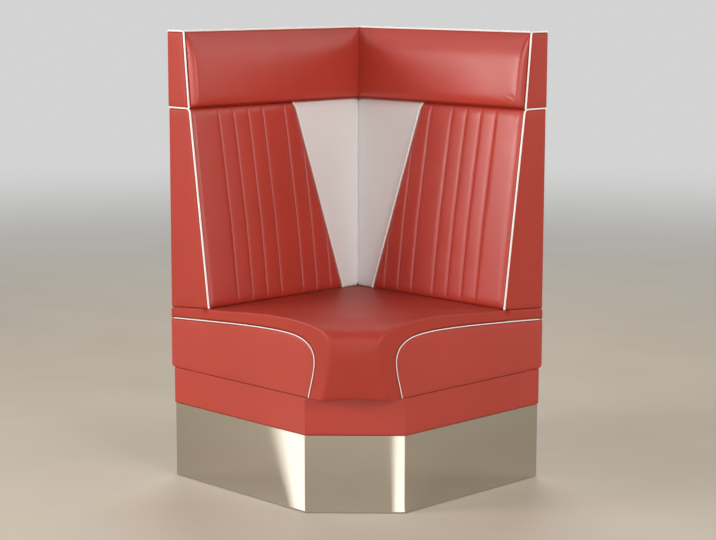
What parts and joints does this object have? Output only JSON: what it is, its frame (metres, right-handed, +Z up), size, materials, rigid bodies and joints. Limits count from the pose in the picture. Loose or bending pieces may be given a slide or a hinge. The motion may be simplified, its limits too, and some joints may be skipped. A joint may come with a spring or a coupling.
{
  "type": "restaurant corner booth seat",
  "caption": "Upholstered corner unit of a restaurant booth: padded seat with a rolled front, channelled backs with a pale V-shaped inset, head rolls and a polished kick base.",
  "frame": {"origin": "on the floor, in the middle of the plan", "axes": "+Z up; the two walls behind it are along X (at +Y) and along Y (at -X); the slanted front faces +X -Y"},
  "size_m": [0.676, 0.676, 1.143],
  "materials": {
    "red_vinyl": "soft satin vinyl",
    "pale_vinyl": "soft satin vinyl",
    "piping_vinyl": "smooth vinyl piping",
    "polished_steel": "mirror polished stainless steel",
    "plywood": "sanded plywood",
    "zinc_steel": "zinc plated",
    "nylon": "moulded nylon"
  },
  "bodies": {
    "root": {"back_cushion_left": "red_vinyl", "back_cushion_right": "red_vinyl", "back_end_panel_left": "red_vinyl", "back_end_panel_right": "red_vinyl", "back_end_rib_left": "plywood", "back_end_rib_right": "plywood", "back_end_welt_left": "piping_vinyl", "back_end_welt_right": "piping_vinyl", "back_front_board_left": "plywood", "back_front_board_right": "plywood", "back_inset_left": "pale_vinyl", "back_inset_right": "pale_vinyl", "back_middle_rib_left": "plywood", "back_middle_rib_right": "plywood", "back_rear_board_left": "plywood", "back_rear_board_right": "plywood", "back_top_rail_left": "plywood", "back_top_rail_right": "plywood", "band_cover_front": "red_vinyl", "band_cover_left": "red_vinyl", "band_cover_right": "red_vinyl", "base_blocks": "plywood", "base_board_end_left": "plywood", "base_board_end_right": "plywood", "base_board_front": "plywood", "base_board_rear_left": "plywood", "base_board_rear_right": "plywood", "base_brace": "plywood", "corner_post": "plywood", "floor_glides": "nylon", "head_roll_left": "red_vinyl", "head_roll_right": "red_vinyl", "inset_welt_left": "piping_vinyl", "inset_welt_right": "piping_vinyl", "kick_plate_front": "polished_steel", "kick_plate_left": "polished_steel", "kick_plate_right": "polished_steel", "roll_board_left": "plywood", "roll_board_right": "plywood", "roll_end_panel_left": "red_vinyl", "roll_end_panel_right": "red_vinyl", "roll_end_welt_left": "piping_vinyl", "roll_end_welt_right": "piping_vinyl", "roll_top_welt_left": "piping_vinyl", "roll_top_welt_right": "piping_vinyl", "seat_board": "plywood", "seat_bolts": "zinc_steel", "seat_cushion": "red_vinyl", "seat_deck": "plywood", "seat_end_board_left": "plywood", "seat_end_board_right": "plywood", "seat_end_panel_left": "red_vinyl", "seat_end_panel_right": "red_vinyl", "seat_front_board": "plywood", "seat_ledger_left": "plywood", "seat_ledger_right": "plywood", "seat_welt_left": "piping_vinyl", "seat_welt_right": "piping_vinyl"}
  },
  "joints": []
}
